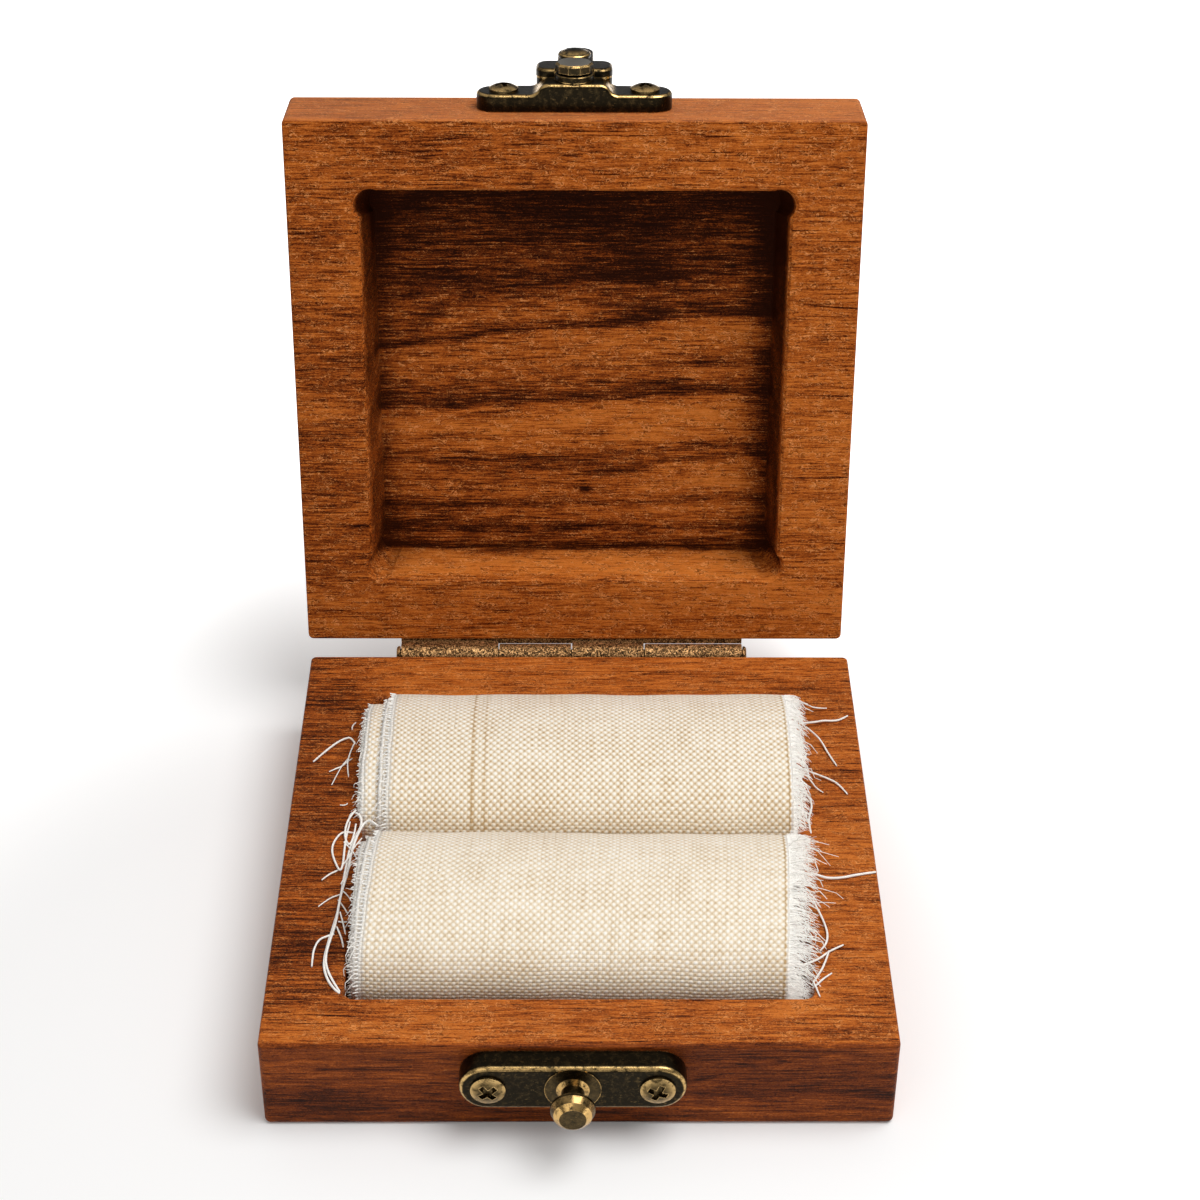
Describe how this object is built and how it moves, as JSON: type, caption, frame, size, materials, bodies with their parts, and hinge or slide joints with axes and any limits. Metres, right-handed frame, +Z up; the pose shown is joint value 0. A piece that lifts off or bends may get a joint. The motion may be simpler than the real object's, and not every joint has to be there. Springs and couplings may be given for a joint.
{
  "type": "keepsake box",
  "caption": "Small square hinged keepsake box of solid wood with routed pockets, a brass swing-hook clasp on the front and rolled linen strips inside.",
  "frame": {"origin": "middle of the base's underside", "axes": "+X to the right, +Y to the hinge at the back, +Z up"},
  "size_m": [0.0807, 0.1241, 0.0993],
  "materials": {
    "wood": "oiled open-grained reddish brown hardwood",
    "antique_brass": "dark antiqued brass, worn bright on the edges",
    "hinge_brass": "grainy antiqued brass",
    "pin_steel": "plain steel",
    "linen": "undyed plain-woven linen"
  },
  "bodies": {
    "base": {"base_block": "wood", "hinge_base_leaf": "hinge_brass", "hinge_pin": "pin_steel", "hinge_base_screw_1": "hinge_brass", "hinge_base_screw_2": "hinge_brass", "hinge_base_screw_3": "hinge_brass", "catch_plate": "antique_brass", "catch_stud": "antique_brass", "catch_screw_left": "antique_brass", "catch_screw_right": "antique_brass", "front_linen_roll": "linen", "rear_linen_roll": "linen"},
    "lid": {"lid_block": "wood", "hinge_lid_leaf": "hinge_brass", "hinge_lid_screw_1": "hinge_brass", "hinge_lid_screw_2": "hinge_brass", "hinge_lid_screw_3": "hinge_brass", "latch_plate": "antique_brass", "latch_screw_left": "antique_brass", "latch_screw_right": "antique_brass", "pivot_bolt": "antique_brass"},
    "hook": {"swing_hook": "antique_brass", "thumb_knob": "antique_brass"}
  },
  "joints": [
    {"name": "lid_hinge", "type": "hinge", "parent": "base", "child": "lid", "pos_m": [-0.0012, 0.04175, 0.01305], "axis": [1, 0, 0], "range_deg": [-69, 99]},
    {"name": "hook_swing", "type": "hinge", "parent": "lid", "child": "hook", "pos_m": [-0.0008, 0.06252, 0.09653], "axis": [0, 0.1564, 0.9877], "range_deg": [-90, 180]}
  ]
}
